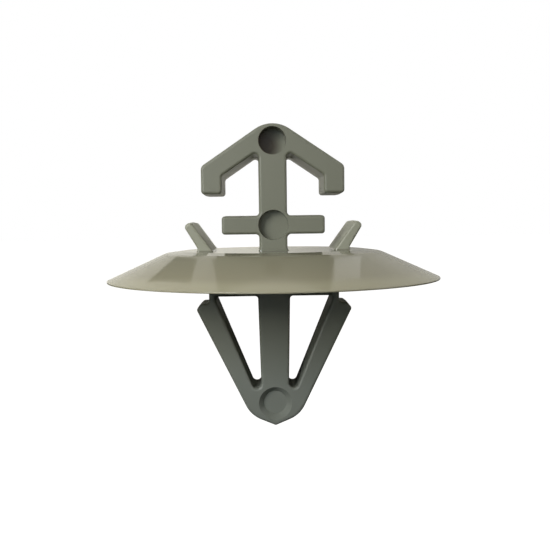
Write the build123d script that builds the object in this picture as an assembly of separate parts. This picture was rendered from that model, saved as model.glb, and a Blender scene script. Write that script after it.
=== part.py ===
from build123d import *
import math
import os

# Car trim clip: one injection moulding in grey plastic.
# From the top down it has an arrow head that grips a trim rail, a crossbar and two
# spring ears that load the rail, a thin umbrella seal, and a V-shaped snap foot.
# Everything but the seal is a flat outline in the XZ plane, drafted both ways from the
# mould's parting plane (y = 0). The seal is a solid of revolution about the stem.
# Frame: millimetres, +Z along the stem towards the arrow head, -Y is the front face.
# The origin is the centre of the circle on which the seal's rim meets the panel.

# Moulding
DRAFT_DEG = 1.0            # walls lean in by this much towards the front and the back
INSIDE_ROUND = 0.25        # inside corners, and where a stem or a block leaves the seal
ROOT_SINK = 0.02           # how far a root fillet starts inside the wall it stands on
ROOT_STRIP = 0.3           # how far the buried part of a root reaches past its fillet

# Seal
SEAL_DIAMETER = 25.0
SEAL_TOP_Z = 2.22          # flat top of the seal above the rim
FLAT_TOP_DIAMETER = 13.8
SHOULDER_WIDTH = 1.25      # gentle slope between the flat top and the skirt
SHOULDER_SLOPE_DEG = 7.0
PLATE_THICKNESS = 0.85     # top plate that carries the head and the foot
RIM_THICKNESS = 0.11
RIM_ROUND = 0.04
RIM_LAND = 0.3             # width of the flat ring that lies on the panel
SHOULDER_ROUND = 1.2
UNDERSIDE_ROUND = 0.8

# Arrow head
HEAD_DEPTH = 5.6           # front to back
HEAD_EDGE_ROUND = 0.2
APEX_Z = 11.47
APEX_ROUND = 2.25
ARM_SLOPE_DEG = 34.0
ARM_THICKNESS = 1.5
HEAD_WIDTH = 10.5          # across the outside of the hook legs
LEG_THICKNESS = 1.59
LEG_LENGTH = 2.07          # outer side of a hook leg, down from the arm's top line
STEM_WIDTH = 2.12
HOOK_CORNER_ROUND = 0.5
LEG_END_ROUND = 0.3

# Crossbar
BAR_LENGTH = 7.6
BAR_THICKNESS = 1.42
BAR_CENTRE_Z = 4.1
BAR_END_ROUND = 0.27

# Spring ears
EAR_ROOT_X = 4.9           # centre of the ear's root on the seal's flat top
EAR_LEAN_DEG = 34.0
EAR_LENGTH = 2.5
EAR_ROOT_THICKNESS = 0.92
EAR_TIP_THICKNESS = 0.7
EAR_TIP_ROUND_SHARE = 0.46 # share of the thickness that its tip is rounded by
EAR_INNER_FLARE = 0.3
EAR_OUTER_FLARE = 0.2
EAR_EDGE_ROUND = 0.18

# Snap foot
FOOT_DEPTH = 3.5           # front to back
FOOT_EDGE_ROUND = 0.2
NECK_SPAN = 9.78           # the neck block that fills the panel hole
NECK_BOTTOM_Z = -1.23      # underside of the block, the top of the two windows
NECK_THICKNESS = 0.45      # where an arm leaves the block
SHOULDER_OVERHANG = 0.965  # how far a snap shoulder stands out past the neck
LEDGE_Z = -1.7             # where a shoulder's ledge leaves the neck
LEDGE_CHAMFER = 0.38       # the ledge's outer corner, across
LEDGE_DROP = 0.45          # and down
LEDGE_ROUND = 0.26
FOOT_OUTER_ANGLE_DEG = 26.1
FOOT_INNER_ANGLE_DEG = 22.2
FOOT_STEM_TOP_WIDTH = 2.45
FOOT_STEM_END_WIDTH = 2.06
WINDOW_CORNER_ROUND = 0.2
NOTCH_ROUND = 0.33
SOLID_TIP_LENGTH = 1.47    # from the windows' lower corners to the end of the tip
TIP_FLANK_DEG = 22.8
TIP_CORNER_ROUND = 2.2
TIP_ROUND = 0.25

# Round core and ejector marks in the front faces
TOP_HOLE_DIAMETER = 2.0
TOP_HOLE_DROP = 1.27       # its centre below the apex
TOP_HOLE_DEPTH = 1.5
BAR_MARK_DIAMETER = 2.2
BAR_MARK_DEPTH = 0.8
FOOT_MARK_DIAMETER = 2.5
FOOT_MARK_RISE = 1.74      # its centre above the tip
FOOT_MARK_DEPTH = 0.5
FOOT_MARK_WALL_DEG = 38.0  # the foot's mark is dished
CUTTER_PROUD = 1.0         # how far a cutting tool starts in front of the face


def tan_deg(angle):
    return math.tan(math.radians(angle))


def cos_deg(angle):
    return math.cos(math.radians(angle))


def sin_deg(angle):
    return math.sin(math.radians(angle))


def ceiling_z():
    """Underside of the seal's top plate."""
    return SEAL_TOP_Z - PLATE_THICKNESS


def buried_z():
    """Roots on both sides of the seal's top plate end at its middle."""
    return SEAL_TOP_Z - PLATE_THICKNESS / 2


def closed_outline(corners):
    """A flat face in the XZ plane from (x, z, corner radius)."""
    points = [(x, z) for x, z, _ in corners]
    radii = [r for _, _, r in corners]
    return Plane.XZ * make_face(FilletPolyline(*points, radius=radii, close=True))


def outline(right_half):
    """Close a list of (x, z, corner radius) with its mirror image about the stem's axis."""
    left_half = [(-x, z, r) for x, z, r in reversed(right_half) if x > 0]
    return closed_outline(right_half + left_half)


def moulded(face, depth, edge_round):
    """Draft a face both ways from the parting plane and round its front and back edges."""
    front = extrude(face, amount=depth / 2, taper=DRAFT_DEG)
    back = extrude(face, amount=-depth / 2, taper=DRAFT_DEG)
    body = front + back
    ends = body.faces().filter_by(Axis.Y).sort_by(Axis.Y)
    rims = ends[0].edges() + ends[-1].edges()
    # edges buried in the seal's top plate stay sharp
    shown = [edge for edge in rims if not ceiling_z() < (edge @ 0.5).Z < SEAL_TOP_Z]
    return fillet(shown, edge_round)


def seal():
    """The umbrella seal: a flat plate with a thin skirt that slopes down to its rim."""
    rim_r = SEAL_DIAMETER / 2
    flat_r = FLAT_TOP_DIAMETER / 2
    shoulder_r = flat_r + SHOULDER_WIDTH
    shoulder_z = SEAL_TOP_Z - SHOULDER_WIDTH * tan_deg(SHOULDER_SLOPE_DEG)
    section = [
        (0, SEAL_TOP_Z, 0),
        (flat_r, SEAL_TOP_Z, 0),
        (shoulder_r, shoulder_z, SHOULDER_ROUND),
        (rim_r, RIM_THICKNESS, RIM_ROUND),
        (rim_r, 0, RIM_ROUND),
        (rim_r - RIM_LAND, 0, 0),
        (shoulder_r, ceiling_z(), UNDERSIDE_ROUND),
        (0, ceiling_z(), 0),
    ]
    return revolve(closed_outline(section), Axis.Z)


def arrow_head():
    """Arms, hook legs, stem and crossbar in one outline."""
    stem_x = STEM_WIDTH / 2
    leg_outer_x = HEAD_WIDTH / 2
    leg_inner_x = leg_outer_x - LEG_THICKNESS
    slope = tan_deg(ARM_SLOPE_DEG)
    apex_drop = APEX_ROUND * (1 / cos_deg(ARM_SLOPE_DEG) - 1)
    ridge_z = APEX_Z + apex_drop
    under_z = ridge_z - ARM_THICKNESS / cos_deg(ARM_SLOPE_DEG)
    hook_z = ridge_z - slope * leg_outer_x
    leg_end_z = hook_z - LEG_LENGTH
    bar_x = BAR_LENGTH / 2
    bar_top = BAR_CENTRE_Z + BAR_THICKNESS / 2
    bar_bottom = BAR_CENTRE_Z - BAR_THICKNESS / 2
    root_z = SEAL_TOP_Z - ROOT_SINK
    root_x = stem_x + INSIDE_ROUND + ROOT_STRIP
    return outline([
        (0, ridge_z, APEX_ROUND),
        (leg_outer_x, hook_z, HOOK_CORNER_ROUND),
        (leg_outer_x, leg_end_z, LEG_END_ROUND),
        (leg_inner_x, leg_end_z, LEG_END_ROUND),
        (leg_inner_x, under_z - slope * leg_inner_x, INSIDE_ROUND),
        (stem_x, under_z - slope * stem_x, INSIDE_ROUND),
        (stem_x, bar_top, INSIDE_ROUND),
        (bar_x, bar_top, BAR_END_ROUND),
        (bar_x, bar_bottom, BAR_END_ROUND),
        (stem_x, bar_bottom, INSIDE_ROUND),
        (stem_x, root_z, INSIDE_ROUND),
        (root_x, root_z, 0),
        (root_x, buried_z(), 0),
    ])


def ear(side):
    """One spring ear that leans outwards from the seal's flat top; side is 1 or -1."""
    lean_x, lean_z = sin_deg(EAR_LEAN_DEG), cos_deg(EAR_LEAN_DEG)
    end_x = EAR_ROOT_X + EAR_LENGTH * lean_x
    end_z = SEAL_TOP_Z + EAR_LENGTH * lean_z
    half_tip = EAR_TIP_THICKNESS / 2
    tip_round = EAR_TIP_THICKNESS * EAR_TIP_ROUND_SHARE
    root_z = SEAL_TOP_Z - ROOT_SINK
    inner_x = EAR_ROOT_X - EAR_ROOT_THICKNESS / 2 / lean_z
    outer_x = EAR_ROOT_X + EAR_ROOT_THICKNESS / 2 / lean_z
    inner_end_x = inner_x - EAR_INNER_FLARE - ROOT_STRIP
    outer_end_x = outer_x + EAR_OUTER_FLARE + ROOT_STRIP
    corners = [
        (end_x - half_tip * lean_z, end_z + half_tip * lean_x, tip_round),
        (end_x + half_tip * lean_z, end_z - half_tip * lean_x, tip_round),
        (outer_x, root_z, EAR_OUTER_FLARE),
        (outer_end_x, root_z, 0),
        (outer_end_x, buried_z(), 0),
        (inner_end_x, buried_z(), 0),
        (inner_end_x, root_z, 0),
        (inner_x, root_z, EAR_INNER_FLARE),
    ]
    return closed_outline([(side * x, z, r) for x, z, r in corners])


def arm_top_x():
    """Where the inner side of a sprung arm leaves the neck block."""
    return NECK_SPAN / 2 - NECK_THICKNESS


def notch_z():
    """Where the inner side of an arm meets the lower stem, before rounding."""
    run = arm_top_x() - FOOT_STEM_END_WIDTH / 2
    return NECK_BOTTOM_Z - run / tan_deg(FOOT_INNER_ANGLE_DEG)


def tip_z():
    return notch_z() - SOLID_TIP_LENGTH


def window(side):
    """The three-cornered opening between the lower stem and one arm."""
    corners = [
        (FOOT_STEM_TOP_WIDTH / 2, NECK_BOTTOM_Z, WINDOW_CORNER_ROUND),
        (arm_top_x(), NECK_BOTTOM_Z, WINDOW_CORNER_ROUND),
        (FOOT_STEM_END_WIDTH / 2, notch_z(), NOTCH_ROUND),
    ]
    return closed_outline([(side * x, z, r) for x, z, r in corners])


def snap_foot():
    """A block that fills the panel hole, the lower stem and two arms that meet it at the tip."""
    neck_x = NECK_SPAN / 2
    shoulder_x = neck_x + SHOULDER_OVERHANG
    shoulder_z = LEDGE_Z - LEDGE_DROP
    outer = tan_deg(FOOT_OUTER_ANGLE_DEG)
    flank = tan_deg(TIP_FLANK_DEG)
    corner_x = (shoulder_x + outer * (tip_z() - shoulder_z)) / (1 - outer * flank)
    root_x = neck_x + INSIDE_ROUND + ROOT_STRIP
    root_z = ceiling_z() + ROOT_SINK
    body = outline([
        (root_x, buried_z(), 0),
        (root_x, root_z, 0),
        (neck_x, root_z, INSIDE_ROUND),
        (neck_x, LEDGE_Z, LEDGE_ROUND),
        (shoulder_x - LEDGE_CHAMFER, LEDGE_Z, LEDGE_ROUND),
        (shoulder_x, shoulder_z, LEDGE_ROUND),
        (corner_x, tip_z() + flank * corner_x, TIP_CORNER_ROUND),
        (0, tip_z(), TIP_ROUND),
    ])
    return body - window(1) - window(-1)


def front_mark(z, face_depth, diameter, depth, wall_deg):
    """A round sinking in a front face on the stem's axis, as a tool to cut away."""
    face = Plane(origin=(0, -face_depth / 2, z), x_dir=(1, 0, 0), z_dir=(0, 1, 0))
    mouth = face * Circle(diameter / 2)
    return extrude(mouth, amount=depth, taper=wall_deg) + extrude(mouth, amount=-CUTTER_PROUD)


def trim_clip():
    clip = seal()
    clip += moulded(arrow_head(), HEAD_DEPTH, HEAD_EDGE_ROUND)
    for side in (1, -1):
        clip += moulded(ear(side), HEAD_DEPTH, EAR_EDGE_ROUND)
    clip += moulded(snap_foot(), FOOT_DEPTH, FOOT_EDGE_ROUND)
    top_hole_z = APEX_Z - TOP_HOLE_DROP
    foot_mark_z = tip_z() + FOOT_MARK_RISE
    clip -= front_mark(top_hole_z, HEAD_DEPTH, TOP_HOLE_DIAMETER, TOP_HOLE_DEPTH, DRAFT_DEG)
    clip -= front_mark(BAR_CENTRE_Z, HEAD_DEPTH, BAR_MARK_DIAMETER, BAR_MARK_DEPTH, DRAFT_DEG)
    clip -= front_mark(foot_mark_z, FOOT_DEPTH, FOOT_MARK_DIAMETER, FOOT_MARK_DEPTH, FOOT_MARK_WALL_DEG)
    return clip


os.makedirs("parts", exist_ok=True)
clip = trim_clip()
solids = clip.solids()
print("solids", len(solids), "volume mm3", round(clip.volume, 3))
export_step(solids[0], "parts/trim_clip.step")
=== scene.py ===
# %% [markdown]
# # A car trim clip in grey acetal
#
# This lesson dresses one small plastic part: a clip, 25 mm across, that holds a trim strip to
# a car's body panel. Its shape comes ready made from the CAD model, at its real size. Blender
# adds what that model can't say: the camera, the light and the look of the plastic.

# %% Load the part
import math

import bpy
from mathutils import Matrix, Vector


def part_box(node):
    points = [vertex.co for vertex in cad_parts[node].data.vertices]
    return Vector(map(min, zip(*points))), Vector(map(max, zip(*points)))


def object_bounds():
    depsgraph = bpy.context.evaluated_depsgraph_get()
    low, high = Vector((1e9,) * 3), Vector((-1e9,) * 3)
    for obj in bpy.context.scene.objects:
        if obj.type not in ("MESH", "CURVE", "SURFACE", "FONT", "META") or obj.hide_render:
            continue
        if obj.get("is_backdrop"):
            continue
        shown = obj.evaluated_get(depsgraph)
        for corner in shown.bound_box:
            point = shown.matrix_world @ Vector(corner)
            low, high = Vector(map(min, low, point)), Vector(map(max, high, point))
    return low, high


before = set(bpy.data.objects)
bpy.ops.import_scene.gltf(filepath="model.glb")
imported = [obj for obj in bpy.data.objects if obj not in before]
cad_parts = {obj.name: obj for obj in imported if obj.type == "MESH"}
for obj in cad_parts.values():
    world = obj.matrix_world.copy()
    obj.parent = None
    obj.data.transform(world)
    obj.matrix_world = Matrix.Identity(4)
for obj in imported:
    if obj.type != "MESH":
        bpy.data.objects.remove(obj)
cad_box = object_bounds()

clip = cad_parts["trim_clip"]
print("pieces:", sorted(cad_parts))
print("faces:", len(clip.data.polygons))

# %% [markdown]
# ## Measure before you make
#
# Blender works in metres and this part is small, so a size below is written in millimetres and
# multiplied by `MM`. A value whose name ends in `_MM` stays a plain number of millimetres, for
# shader nodes and formulas that count in millimetres too.
# The clip's own box tells us how wide the seal is and where the highest and the lowest point
# are, so nothing on the stage has to be placed by guesswork.

# %% Units and the part's own sizes
MM = 0.001

lowest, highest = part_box("trim_clip")
seal_radius_mm = (highest.x - lowest.x) / 2 / MM
print("size in mm:", [round(side / MM, 2) for side in highest - lowest])
print("seal radius in mm:", round(seal_radius_mm, 2))

# %% [markdown]
# ## The camera
#
# A close camera makes near things large: here the seal's near rim drops well below its far
# rim, and a little of the side of each arm shows. A long lens from far away would fill the
# picture too, but it would flatten all that. So the distance comes first, and the lens is then
# chosen to fill the picture.
# The camera stands 57 mm in front of the stem, as high as the crossbar, and looks slightly
# down. Matrices work from right to left. A camera in Blender looks along its own -Z axis: it
# is rolled about that line, then stood up by a turn about X, then aimed by a turn about Z,
# and last moved to its place.

# %% Camera
PICTURE_WIDTH = 550          # pixels
FOCAL_IN_PIXELS = 745
SENSOR_WIDTH = 36.0          # mm, Blender's usual film width
CAMERA_PLACE = Vector((-0.62, -57.0, 4.32)) * MM
STAND_UP = math.radians(90)
LOOK_DOWN = math.radians(4.08)
LOOK_RIGHT = math.radians(0.73)
CAMERA_ROLL = math.radians(0.75)
SEES_FROM = 1 * MM
SEES_TO = 10.0               # metres, past the far corners of the floor

camera_data = bpy.data.cameras.new("camera")
camera_data.sensor_width = SENSOR_WIDTH
camera_data.lens = SENSOR_WIDTH * FOCAL_IN_PIXELS / PICTURE_WIDTH
camera_data.clip_start = SEES_FROM
camera_data.clip_end = SEES_TO
camera = bpy.data.objects.new("camera", camera_data)
camera.matrix_world = (
    Matrix.Translation(CAMERA_PLACE)
    @ Matrix.Rotation(-LOOK_RIGHT, 4, "Z")
    @ Matrix.Rotation(STAND_UP - LOOK_DOWN, 4, "X")
    @ Matrix.Rotation(-CAMERA_ROLL, 4, "Z")
)
bpy.context.scene.collection.objects.link(camera)
bpy.context.scene.camera = camera
print("lens in mm:", round(camera_data.lens, 1))

# %% [markdown]
# ## Helpers for materials
#
# Colours are written as sRGB hex values, the way a paint chart gives them, but a shader
# counts light in linear steps. One function turns the first into the second.
# The next one adds a node: its settings go in by name, and each input takes either a plain
# value or another node's output, which is then linked. An input is picked by its name, or by
# its number where several share a name, as on a Math node.
# The third starts a material with no nodes at all, because the two that Blender puts in
# aren't wanted.

# %% Helpers
def linear(hex_colour):
    """An sRGB hex colour as linear red, green, blue and alpha, by the sRGB standard's formula."""
    parts = [int(hex_colour[i:i + 2], 16) / 255 for i in (0, 2, 4)]
    return [c / 12.92 if c <= 0.04045 else ((c + 0.055) / 1.055) ** 2.4 for c in parts] + [1]


def add_node(tree, kind, inputs=None, **settings):
    """Add a node, set it up, and give each of its inputs a value or a link."""
    node = tree.nodes.new(kind)
    for name, value in settings.items():
        setattr(node, name, value)
    for socket, value in (inputs or {}).items():
        if isinstance(value, bpy.types.NodeSocket):
            tree.links.new(value, node.inputs[socket])
        else:
            node.inputs[socket].default_value = value
    return node


def empty_material(name):
    """A new material and its node tree with nothing in it yet."""
    made = bpy.data.materials.new(name)
    made.use_nodes = True
    made.node_tree.nodes.clear()
    return made, made.node_tree


print("hex 808080 is", round(linear("808080")[0], 3), "in linear light")

# %% [markdown]
# ## The plastic
#
# Clips like this one are moulded in acetal, a tough and slippery plastic that is milky by
# nature and here coloured grey right through. Three things in it catch the eye.
#
# * The head and the foot are satin with a very fine grain, such as a steel mould gives that
#   was finished by spark erosion.
# * The seal is smooth, as if its part of the mould was polished. It shows a dim picture of
#   the arrow head above it, so it needs a much lower roughness.
# * Light passes some way into a thin wall. The seal's skirt and the two ears are the thin
#   parts, and look lighter and warmer than the rest, most of all at the rim.
#
# One material could be cut into several, one for each part of the clip, but the clip is a
# single moulding and its faces don't stop where the finish changes. So it stays one material,
# and masks made from the place on the clip say where each finish begins.

# %% Places on the clip
acetal, tree = empty_material("moulded_grey_acetal")
place = add_node(tree, "ShaderNodeTexCoord").outputs["Object"]
place_mm = add_node(
    tree, "ShaderNodeVectorMath", {0: place, "Scale": 1 / MM}, operation="SCALE"
).outputs["Vector"]
along_mm = add_node(tree, "ShaderNodeSeparateXYZ", {0: place_mm}).outputs
flat_mm = add_node(
    tree, "ShaderNodeCombineXYZ", {"X": along_mm["X"], "Y": along_mm["Y"]}
).outputs[0]
radius_mm = add_node(
    tree, "ShaderNodeVectorMath", {0: flat_mm}, operation="LENGTH"
).outputs["Value"]
print("nodes that give a place:", len(tree.nodes))

# %% [markdown]
# The seal is the slice of the clip between its rim and its flat top. The ears are in the slice
# above that, further to the sides than the crossbar reaches. Compare gives 1 where a height
# is within a reach of a middle height, and 0 elsewhere.

# %% Masks for the seal and the ears
SEAL_MIDDLE_MM = 1.1
SEAL_REACH_MM = 1.2
EAR_MIDDLE_MM = 3.6
EAR_REACH_MM = 1.3
EARS_FROM_MM = 4.2           # sideways from the stem

on_seal = add_node(
    tree,
    "ShaderNodeMath",
    {0: along_mm["Z"], 1: SEAL_MIDDLE_MM, 2: SEAL_REACH_MM},
    operation="COMPARE",
).outputs[0]
ear_height = add_node(
    tree,
    "ShaderNodeMath",
    {0: along_mm["Z"], 1: EAR_MIDDLE_MM, 2: EAR_REACH_MM},
    operation="COMPARE",
).outputs[0]
sideways_mm = add_node(
    tree, "ShaderNodeMath", {0: along_mm["X"]}, operation="ABSOLUTE"
).outputs[0]
outside_bar = add_node(
    tree, "ShaderNodeMath", {0: sideways_mm, 1: EARS_FROM_MM}, operation="GREATER_THAN"
).outputs[0]
on_ears = add_node(
    tree, "ShaderNodeMath", {0: ear_height, 1: outside_bar}, operation="MULTIPLY"
).outputs[0]
print("ears reach from mm:", round(EAR_MIDDLE_MM - EAR_REACH_MM, 2))
print("ears reach to mm:", round(EAR_MIDDLE_MM + EAR_REACH_MM, 2))

# %% [markdown]
# ### Colour
#
# A single grey would look like paint. Where hot plastic of a slightly different shade flowed
# into the mould, the colour wanders a little, so two close greys are mixed by a soft noise.
# On the skirt the flow ran outwards from the middle and left faint rays. They are noise
# again, but looked up by direction alone: every point of a ray has the same direction from
# the stem, so it gets the same shade. Directions lie on a circle of radius 1, so the seal's
# radius divided by the width of a ray at the rim gives the scale.
# A Mix node has a set of sockets for each kind of data, and the sets share their names, so
# those for colours are picked by number too.

# %% Grey acetal
ACETAL_LIGHT = "828373"
ACETAL_DARK = "7b7d6d"
FLOW_PATCH_MM = 4.0
RAY_AT_RIM_MM = 1.39
RAY_SHARE = 0.45
MIX_SHARE = 0
MIX_A = 6
MIX_B = 7
MIX_RESULT = 2

patches = add_node(
    tree,
    "ShaderNodeTexNoise",
    {"Vector": place_mm, "Scale": 1 / FLOW_PATCH_MM, "Detail": 2.0, "Roughness": 0.5},
).outputs["Fac"]
direction = add_node(
    tree, "ShaderNodeVectorMath", {0: flat_mm}, operation="NORMALIZE"
).outputs["Vector"]
rays = add_node(
    tree,
    "ShaderNodeTexNoise",
    {"Vector": direction, "Scale": seal_radius_mm / RAY_AT_RIM_MM, "Detail": 2.0, "Roughness": 0.6},
).outputs["Fac"]
ray_share = add_node(
    tree, "ShaderNodeMath", {0: on_seal, 1: RAY_SHARE}, operation="MULTIPLY"
).outputs[0]
flow = add_node(
    tree, "ShaderNodeMix", {"Factor": ray_share, "A": patches, "B": rays}
).outputs["Result"]
tint = add_node(
    tree,
    "ShaderNodeMix",
    {MIX_SHARE: flow, MIX_A: linear(ACETAL_DARK), MIX_B: linear(ACETAL_LIGHT)},
    data_type="RGBA",
).outputs[MIX_RESULT]
print("light acetal, linear:", [round(c, 3) for c in linear(ACETAL_LIGHT)[:3]])
print("dark acetal, linear:", [round(c, 3) for c in linear(ACETAL_DARK)[:3]])

# %% [markdown]
# The foot shows a cooler grey than the head. A bluish lamp could do that, but it turns the top of
# the foot too blue, so the cool light is painted into the plastic's tint instead, and this painted
# light grows on the way down to the tip.

# %% Painted cool light on the foot
FOOT_COOL_LIGHT_TINT = "82877f"
FOOT_FROM_MM = -3.0
FOOT_TO_MM = -8.0
COOL_LIGHT_SHARE = 0.85

cool_light_share = add_node(
    tree,
    "ShaderNodeMapRange",
    {"Value": along_mm["Z"], "From Min": FOOT_FROM_MM, "From Max": FOOT_TO_MM, "To Max": COOL_LIGHT_SHARE},
).outputs["Result"]
# Painted cool light on the foot, growing towards the tip.
tint = add_node(
    tree,
    "ShaderNodeMix",
    {MIX_SHARE: cool_light_share, MIX_A: tint, MIX_B: linear(FOOT_COOL_LIGHT_TINT)},
    data_type="RGBA",
).outputs[MIX_RESULT]
print("foot, linear:", [round(c, 3) for c in linear(FOOT_COOL_LIGHT_TINT)[:3]])

# %% [markdown]
# Thin walls come next. Subsurface scattering would follow the light through them ray by ray, but it
# is slow and grainy, and many file formats can't carry it. Here the thin walls are in known places,
# so the light through them is painted: each gets a lighter and warmer tint, the ears, the skirt,
# which grows thinner all the way out, and its rim.

# %% Painted light in the thin walls
EAR_GLOW_TINT = "9fa08e"
SKIRT_GLOW_TINT = "95917a"
RIM_GLOW_TINT = "a5a187"
SKIRT_FROM_MM = 4.0          # from the stem's axis
RIM_FROM_MM = 10.8
RIM_BLEND_MM = 1.2

skirt_reach = add_node(
    tree,
    "ShaderNodeMapRange",
    {"Value": radius_mm, "From Min": SKIRT_FROM_MM, "From Max": RIM_FROM_MM},
).outputs["Result"]
on_skirt = add_node(
    tree, "ShaderNodeMath", {0: skirt_reach, 1: on_seal}, operation="MULTIPLY"
).outputs[0]
on_rim = add_node(
    tree,
    "ShaderNodeMapRange",
    {"Value": radius_mm, "From Min": RIM_FROM_MM, "From Max": RIM_FROM_MM + RIM_BLEND_MM},
    interpolation_type="SMOOTHSTEP",
).outputs["Result"]
# Painted light: lighter, warmer tints where light would shine through thin walls.
for thin_part, share, glow_tint in (
    ("ears", on_ears, EAR_GLOW_TINT),
    ("skirt", on_skirt, SKIRT_GLOW_TINT),
    ("rim", on_rim, RIM_GLOW_TINT),
):
    tint = add_node(
        tree,
        "ShaderNodeMix",
        {MIX_SHARE: share, MIX_A: tint, MIX_B: linear(glow_tint)},
        data_type="RGBA",
    ).outputs[MIX_RESULT]
    print(thin_part, "linear:", [round(c, 3) for c in linear(glow_tint)[:3]])

# %% [markdown]
# The hole near the apex is dark brown at the left and low down, and lit at the right. That shade is
# painted into the plastic's tint: a round patch of painted shade, inside the hole only, that thins
# out towards the right.

# %% Painted shade in the top hole
HOLE_SHADE_TINT = "34280c"
HOLE_DROP_MM = 1.27          # the hole's centre below the apex
HOLE_REACH_MM = 1.03         # the hole's radius and a little more
SHADE_LEFT_MM = 0.55        # the painted shade's middle, left of the hole's centre
SHADE_LOW_MM = 0.25         # and below it
SHADE_FROM_MM = 0.6         # full colour up to this far from the painted shade's middle
SHADE_TO_MM = 1.4           # and none beyond this

hole_z_mm = highest.z / MM - HOLE_DROP_MM
front_mm = add_node(
    tree, "ShaderNodeCombineXYZ", {"X": along_mm["X"], "Z": along_mm["Z"]}
).outputs[0]
from_hole_mm = add_node(
    tree, "ShaderNodeVectorMath", {0: front_mm, 1: (0, 0, hole_z_mm)}, operation="DISTANCE"
).outputs["Value"]
in_hole = add_node(
    tree, "ShaderNodeMath", {0: from_hole_mm, 1: HOLE_REACH_MM}, operation="LESS_THAN"
).outputs[0]
in_front = add_node(
    tree, "ShaderNodeMath", {0: along_mm["Y"], 1: 0.0}, operation="LESS_THAN"
).outputs[0]
from_shade_mm = add_node(
    tree,
    "ShaderNodeVectorMath",
    {0: front_mm, 1: (-SHADE_LEFT_MM, 0, hole_z_mm - SHADE_LOW_MM)},
    operation="DISTANCE",
).outputs["Value"]
shade_cover = add_node(
    tree,
    "ShaderNodeMapRange",
    {
        "Value": from_shade_mm,
        "From Min": SHADE_FROM_MM,
        "From Max": SHADE_TO_MM,
        "To Min": in_hole,
        "To Max": 0.0,
    },
).outputs["Result"]
shade_share = add_node(
    tree, "ShaderNodeMath", {0: shade_cover, 1: in_front}, operation="MULTIPLY"
).outputs[0]
# Painted shade: the left and lower part of the top hole is darkened in the tint.
tint = add_node(
    tree,
    "ShaderNodeMix",
    {MIX_SHARE: shade_share, MIX_A: tint, MIX_B: linear(HOLE_SHADE_TINT)},
    data_type="RGBA",
).outputs[MIX_RESULT]
print("hole's centre at mm:", round(hole_z_mm, 2))

# %% [markdown]
# ### Surface
#
# Roughness is low on the seal and higher elsewhere. The grain that spark erosion leaves is
# about 0.03 mm across, too fine for this picture, where a pixel covers 0.08 mm, so it is drawn
# at 0.12 mm and very shallow. Where the two halves of the mould met, halfway from front to
# back, a fine raised line runs round the sides of the head and the foot.
# Both are far lower than anything in the clip's outline, so they are bump, which bends only
# the light, and the mesh stays as the CAD model made it.

# %% Roughness
SATIN_ROUGHNESS = 0.42
POLISHED_ROUGHNESS = 0.1

roughness = add_node(
    tree,
    "ShaderNodeMapRange",
    {"Value": on_seal, "To Min": SATIN_ROUGHNESS, "To Max": POLISHED_ROUGHNESS},
).outputs["Result"]
print("roughness, satin and polished:", SATIN_ROUGHNESS, POLISHED_ROUGHNESS)

# %% Grain and parting line
GRAIN_MM = 0.12
GRAIN_HEIGHT_MM = 0.0022
LINE_REACH_MM = 0.12         # from the parting plane to each side
LINE_HEIGHT_MM = 0.03

grain = add_node(
    tree,
    "ShaderNodeTexNoise",
    {"Vector": place_mm, "Scale": 1 / GRAIN_MM, "Detail": 3.0, "Roughness": 0.6},
).outputs["Fac"]
off_plane_mm = add_node(
    tree, "ShaderNodeMath", {0: along_mm["Y"]}, operation="ABSOLUTE"
).outputs[0]
line_height_mm = add_node(
    tree,
    "ShaderNodeMapRange",
    {"Value": off_plane_mm, "From Max": LINE_REACH_MM, "To Min": LINE_HEIGHT_MM, "To Max": 0.0},
    interpolation_type="SMOOTHSTEP",
).outputs["Result"]
relief_mm = add_node(
    tree,
    "ShaderNodeMath",
    {0: grain, 1: GRAIN_HEIGHT_MM, 2: line_height_mm},
    operation="MULTIPLY_ADD",
).outputs[0]
satin_relief_mm = add_node(
    tree, "ShaderNodeMapRange", {"Value": on_seal, "To Min": relief_mm, "To Max": 0.0}
).outputs["Result"]
relief = add_node(
    tree, "ShaderNodeBump", {"Height": satin_relief_mm, "Distance": MM, "Strength": 1.0}
).outputs["Normal"]
print("grain in noise cells per mm:", round(1 / GRAIN_MM, 1))

# %% [markdown]
# Acetal bends light by 1.48. That number is the same all over the clip, so it is written on
# the shader itself.

# %% The acetal shader
ACETAL_IOR = 1.48

plastic = add_node(
    tree,
    "ShaderNodeBsdfPrincipled",
    {"Base Color": tint, "Roughness": roughness, "IOR": ACETAL_IOR, "Normal": relief},
)
add_node(tree, "ShaderNodeOutputMaterial", {"Surface": plastic.outputs[0]})
for material_slot in clip.material_slots:
    material_slot.material = acetal
print("slots dressed:", len(clip.material_slots), "nodes:", len(tree.nodes))

# %% [markdown]
# ## The stage
#
# The clip is made to hang in a panel's hole and can't stand up by itself, so it floats. A white
# floor lies well below it, too far down for its soft shadow to show. Pieces of the stage are plain
# sheets, and each is marked as backdrop, so that none counts as part of the clip.
# The floor has to look white without more light on the clip. It gets a glow of its own, and
# Light Path keeps that glow to rays that see the floor directly, in a mirror or through glass.

# %% Helpers for the stage
def seen_ray(tree):
    """1 for a ray that shows a thing directly, in a mirror or through glass, and else 0."""
    rays = add_node(tree, "ShaderNodeLightPath").outputs
    direct_or_mirrored = add_node(
        tree,
        "ShaderNodeMath",
        {0: rays["Is Camera Ray"], 1: rays["Is Glossy Ray"]},
        operation="ADD",
    ).outputs[0]
    return add_node(
        tree,
        "ShaderNodeMath",
        {0: direct_or_mirrored, 1: rays["Is Transmission Ray"]},
        operation="ADD",
        use_clamp=True,
    ).outputs[0]


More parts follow.
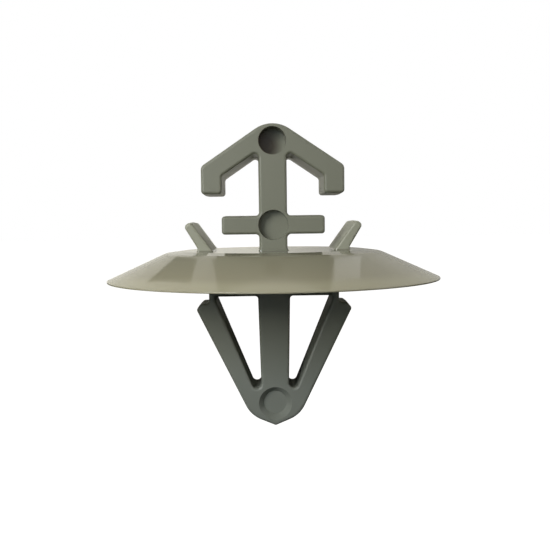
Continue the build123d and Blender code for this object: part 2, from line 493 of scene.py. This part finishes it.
def matt_material(name, hex_colour, glow=0.0, seen_only=False):
    """A matt stage material with a glow, which seen_only keeps to rays that show the material."""
    made, tree = empty_material(name)
    strength = glow
    if seen_only:
        strength = add_node(
            tree, "ShaderNodeMath", {0: seen_ray(tree), 1: glow}, operation="MULTIPLY"
        ).outputs[0]
    matt = add_node(tree, "ShaderNodeBsdfDiffuse", {"Color": linear(hex_colour)})
    light = add_node(tree, "ShaderNodeEmission", {"Strength": strength})
    both = add_node(tree, "ShaderNodeAddShader", {0: matt.outputs[0], 1: light.outputs[0]})
    add_node(tree, "ShaderNodeOutputMaterial", {"Surface": both.outputs[0]})
    print("stage material:", made.name)
    return made


def sheet(name, corners, look):
    """A flat four-cornered piece of the stage in one material; corners are points in metres."""
    mesh = bpy.data.meshes.new(name)
    mesh.from_pydata(corners, [], [(0, 1, 2, 3)])
    mesh.materials.append(look)
    made = bpy.data.objects.new(name, mesh)
    bpy.context.scene.collection.objects.link(made)
    made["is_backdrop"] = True
    return made


# %% Floor
FLOOR_DROP = 75 * MM
FLOOR_HALF = 4000 * MM
PAPER_COLOUR = "ececec"
FLOOR_GLOW = 1.0

white_paper = matt_material("white_paper", PAPER_COLOUR, FLOOR_GLOW, seen_only=True)
floor_z = lowest.z - FLOOR_DROP
sheet("floor", [
    (-FLOOR_HALF, -FLOOR_HALF, floor_z),
    (FLOOR_HALF, -FLOOR_HALF, floor_z),
    (FLOOR_HALF, FLOOR_HALF, floor_z),
    (-FLOOR_HALF, FLOOR_HALF, floor_z),
], white_paper)
print("floor at mm:", round(floor_z / MM, 1))

# %% [markdown]
# The world is the wall of the studio. It is white where it is seen, and only dim as a light,
# because the lamps do that work. What it adds is the colour of the deepest shadows, and in the
# photo those are brownish.

# %% World
WALL_WHITE = "ffffff"
SHADOW_LIGHT = "58544a"

world = bpy.data.worlds.new("white_studio")
bpy.context.scene.world = world
world.use_nodes = True
world_tree = world.node_tree
world_tree.nodes.clear()
wall = add_node(
    world_tree,
    "ShaderNodeMix",
    {MIX_SHARE: seen_ray(world_tree), MIX_A: linear(SHADOW_LIGHT), MIX_B: linear(WALL_WHITE)},
    data_type="RGBA",
).outputs[MIX_RESULT]
backing = add_node(world_tree, "ShaderNodeBackground", {"Color": wall})
add_node(world_tree, "ShaderNodeOutputWorld", {"Surface": backing.outputs[0]})
print("shadow light, linear:", [round(c, 3) for c in linear(SHADOW_LIGHT)[:3]])

# %% [markdown]
# ### Cards
#
# A shiny thing is drawn by what it mirrors. The flat top of the seal is seen at a low angle and
# mirrors what stands close behind the clip, so a white card there makes it bright. Behind and under
# the foot, where the seal's shade falls, dark sheets stand in for that shade, and the inner sides of
# the foot turn dark. Such light and dark could be painted on the clip, but it would stay in place
# when the clip turns. The camera itself doesn't see the cards, and they cast no shadow.

# %% Cards behind and below
CARD_GAP = 1.5 * MM
CARD_HALF = 150 * MM
CARD_FOOT = -1.0 * MM
CARD_COLOUR = "ece8da"
CARD_GLOW = 0.25
SHADE_CARD_DROP = 6 * MM
SHADE_CARD_COLOUR = "161616"


def card(name, corners, look):
    """A sheet that the camera doesn't see and that casts no shadow."""
    made = sheet(name, corners, look)
    made.visible_camera = False
    made.visible_shadow = False
    return made


card_y = highest.y + CARD_GAP
shade_card_z = lowest.z - SHADE_CARD_DROP
lit_paper = matt_material("lit_paper", CARD_COLOUR, CARD_GLOW)
shade_stand_in = matt_material("shade_stand_in", SHADE_CARD_COLOUR)
# The dark sheets below stand in for the seal's shade behind and under the foot.
for name, bottom_z, top_z, look in (
    ("white_card", CARD_FOOT, CARD_HALF, lit_paper),
    ("shade_card_behind", shade_card_z, CARD_FOOT, shade_stand_in),
):
    card(name, [
        (-CARD_HALF, card_y, bottom_z),
        (CARD_HALF, card_y, bottom_z),
        (CARD_HALF, card_y, top_z),
        (-CARD_HALF, card_y, top_z),
    ], look)
card("shade_card_below", [
    (-CARD_HALF, -CARD_HALF, shade_card_z),
    (CARD_HALF, -CARD_HALF, shade_card_z),
    (CARD_HALF, card_y, shade_card_z),
    (-CARD_HALF, card_y, shade_card_z),
], shade_stand_in)
print("cards stand behind the clip at mm:", round(card_y / MM, 1))

# %% [markdown]
# The skirt slopes by 24 degrees, so the camera sees in it what is high above the clip. In the
# photo that is a dark shape as wide as the arrow head, with a second one to its left and a
# bright one to its right. Three small cards, above the head and beside it, draw them: follow a
# line of sight to the skirt, let it bounce, and where it meets the plane through the stem a
# card belongs. Their corners are written as x and z in that plane. Only mirror rays see these
# three. Soft light passes them by.

# %% Cards for the skirt's reflections
MIRROR_GREY = "8a8a80"
MIRROR_GLOW = 0.7
MIDDLE_CARD_MM = [(-6.6, 9.0), (6.6, 9.0), (7.0, 15.3), (-6.8, 15.3)]
LEFT_CARD_MM = [(-11.8, 5.2), (-8.3, 4.0), (-7.5, 6.9), (-9.2, 10.5)]
RIGHT_CARD_MM = [(6.6, 9.0), (8.2, 5.6), (9.4, 9.8), (7.2, 13.0)]

mirror_grey = matt_material("grey_card", MIRROR_GREY)
mirror_white = matt_material("bright_card", CARD_COLOUR, MIRROR_GLOW)
for name, corners_mm, look in (
    ("middle_card", MIDDLE_CARD_MM, mirror_grey),
    ("left_card", LEFT_CARD_MM, mirror_grey),
    ("right_card", RIGHT_CARD_MM, mirror_white),
):
    small_card = card(name, [(x * MM, 0, z * MM) for x, z in corners_mm], look)
    small_card.visible_diffuse = False
    print(name, "reaches up to mm:", max(z for x, z in corners_mm))

# %% [markdown]
# ### Lamps
#
# Soft light comes from a large area, so every lamp is a square softbox and none is a point or
# a sun. The key light is a small softbox close to the clip, in front of it to the left and a
# little above. Being close, it lights the left leg of the head more than the right one, and it
# leaves the soft shadows in the round marks. The seal keeps it off the top of the foot. Weak
# lamps from the right, from the back and from low in front fill in, and one below and behind
# is there for views of the underside, which the camera doesn't see.
# A level is easier to think in than a power in watts: a level of 1 lights a white card that
# faces the lamp as brightly as pure white. The lamp's power follows from it and from the
# square of the distance.

# %% Softboxes
FILL_DISTANCE_MM = 300
FILL_WIDTH_MM = 140
KEY_DISTANCE_MM = 95
UNDER_DISTANCE_MM = 70       # nearer than the floor
SMALL_WIDTH_MM = 40
LAMP_WHITE = "ffffff"
COOL_WHITE = "cfe9ff"


def softbox(
    name,
    azimuth,
    elevation,
    level,
    distance_mm=FILL_DISTANCE_MM,
    width_mm=FILL_WIDTH_MM,
    hex_colour=LAMP_WHITE,
):
    """A square lamp aimed at the clip; azimuth 0 is behind it, 90 right and 180 in front."""
    turn = math.radians(azimuth)
    rise = math.radians(elevation)
    flat = math.cos(rise)
    away = Vector((math.sin(turn) * flat, math.cos(turn) * flat, math.sin(rise)))
    distance = distance_mm * MM
    data = bpy.data.lights.new(name, "AREA")
    data.shape = "SQUARE"
    data.size = width_mm * MM
    data.color = linear(hex_colour)[:3]
    data.energy = level * (math.pi * distance) ** 2
    lamp = bpy.data.objects.new(name, data)
    lamp.location = away * distance
    lamp.rotation_mode = "QUATERNION"
    lamp.rotation_quaternion = (-away).to_track_quat("-Z", "Y")
    bpy.context.scene.collection.objects.link(lamp)
    print(name, "power in W:", round(data.energy, 3))


softbox(
    "key_softbox",
    azimuth=216,
    elevation=21,
    level=0.655,
    distance_mm=KEY_DISTANCE_MM,
    width_mm=SMALL_WIDTH_MM,
)
softbox("right_softbox", azimuth=100, elevation=20, level=0.16)
softbox("back_softbox", azimuth=0, elevation=60, level=0.12)
softbox("low_fill_softbox", azimuth=200, elevation=3, level=0.07, hex_colour=COOL_WHITE)
softbox(
    "under_softbox",
    azimuth=345,
    elevation=-55,
    level=0.3,
    distance_mm=UNDER_DISTANCE_MM,
    width_mm=SMALL_WIDTH_MM,
)

# %% [markdown]
# ## Finish
#
# Blender's default view transform is made for film scenes and would dull the greys, so the picture
# is shown with the plain Standard one. The box of the dressed clip is printed beside the CAD model's
# box: dressing must not change the size.

# %% Finish
bpy.context.scene.view_settings.view_transform = "Standard"
boxes = {"cad": cad_box, "visual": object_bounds()}
for name, box in boxes.items():
    print(name, "box in mm:", [[round(c / MM, 3) for c in corner] for corner in box])
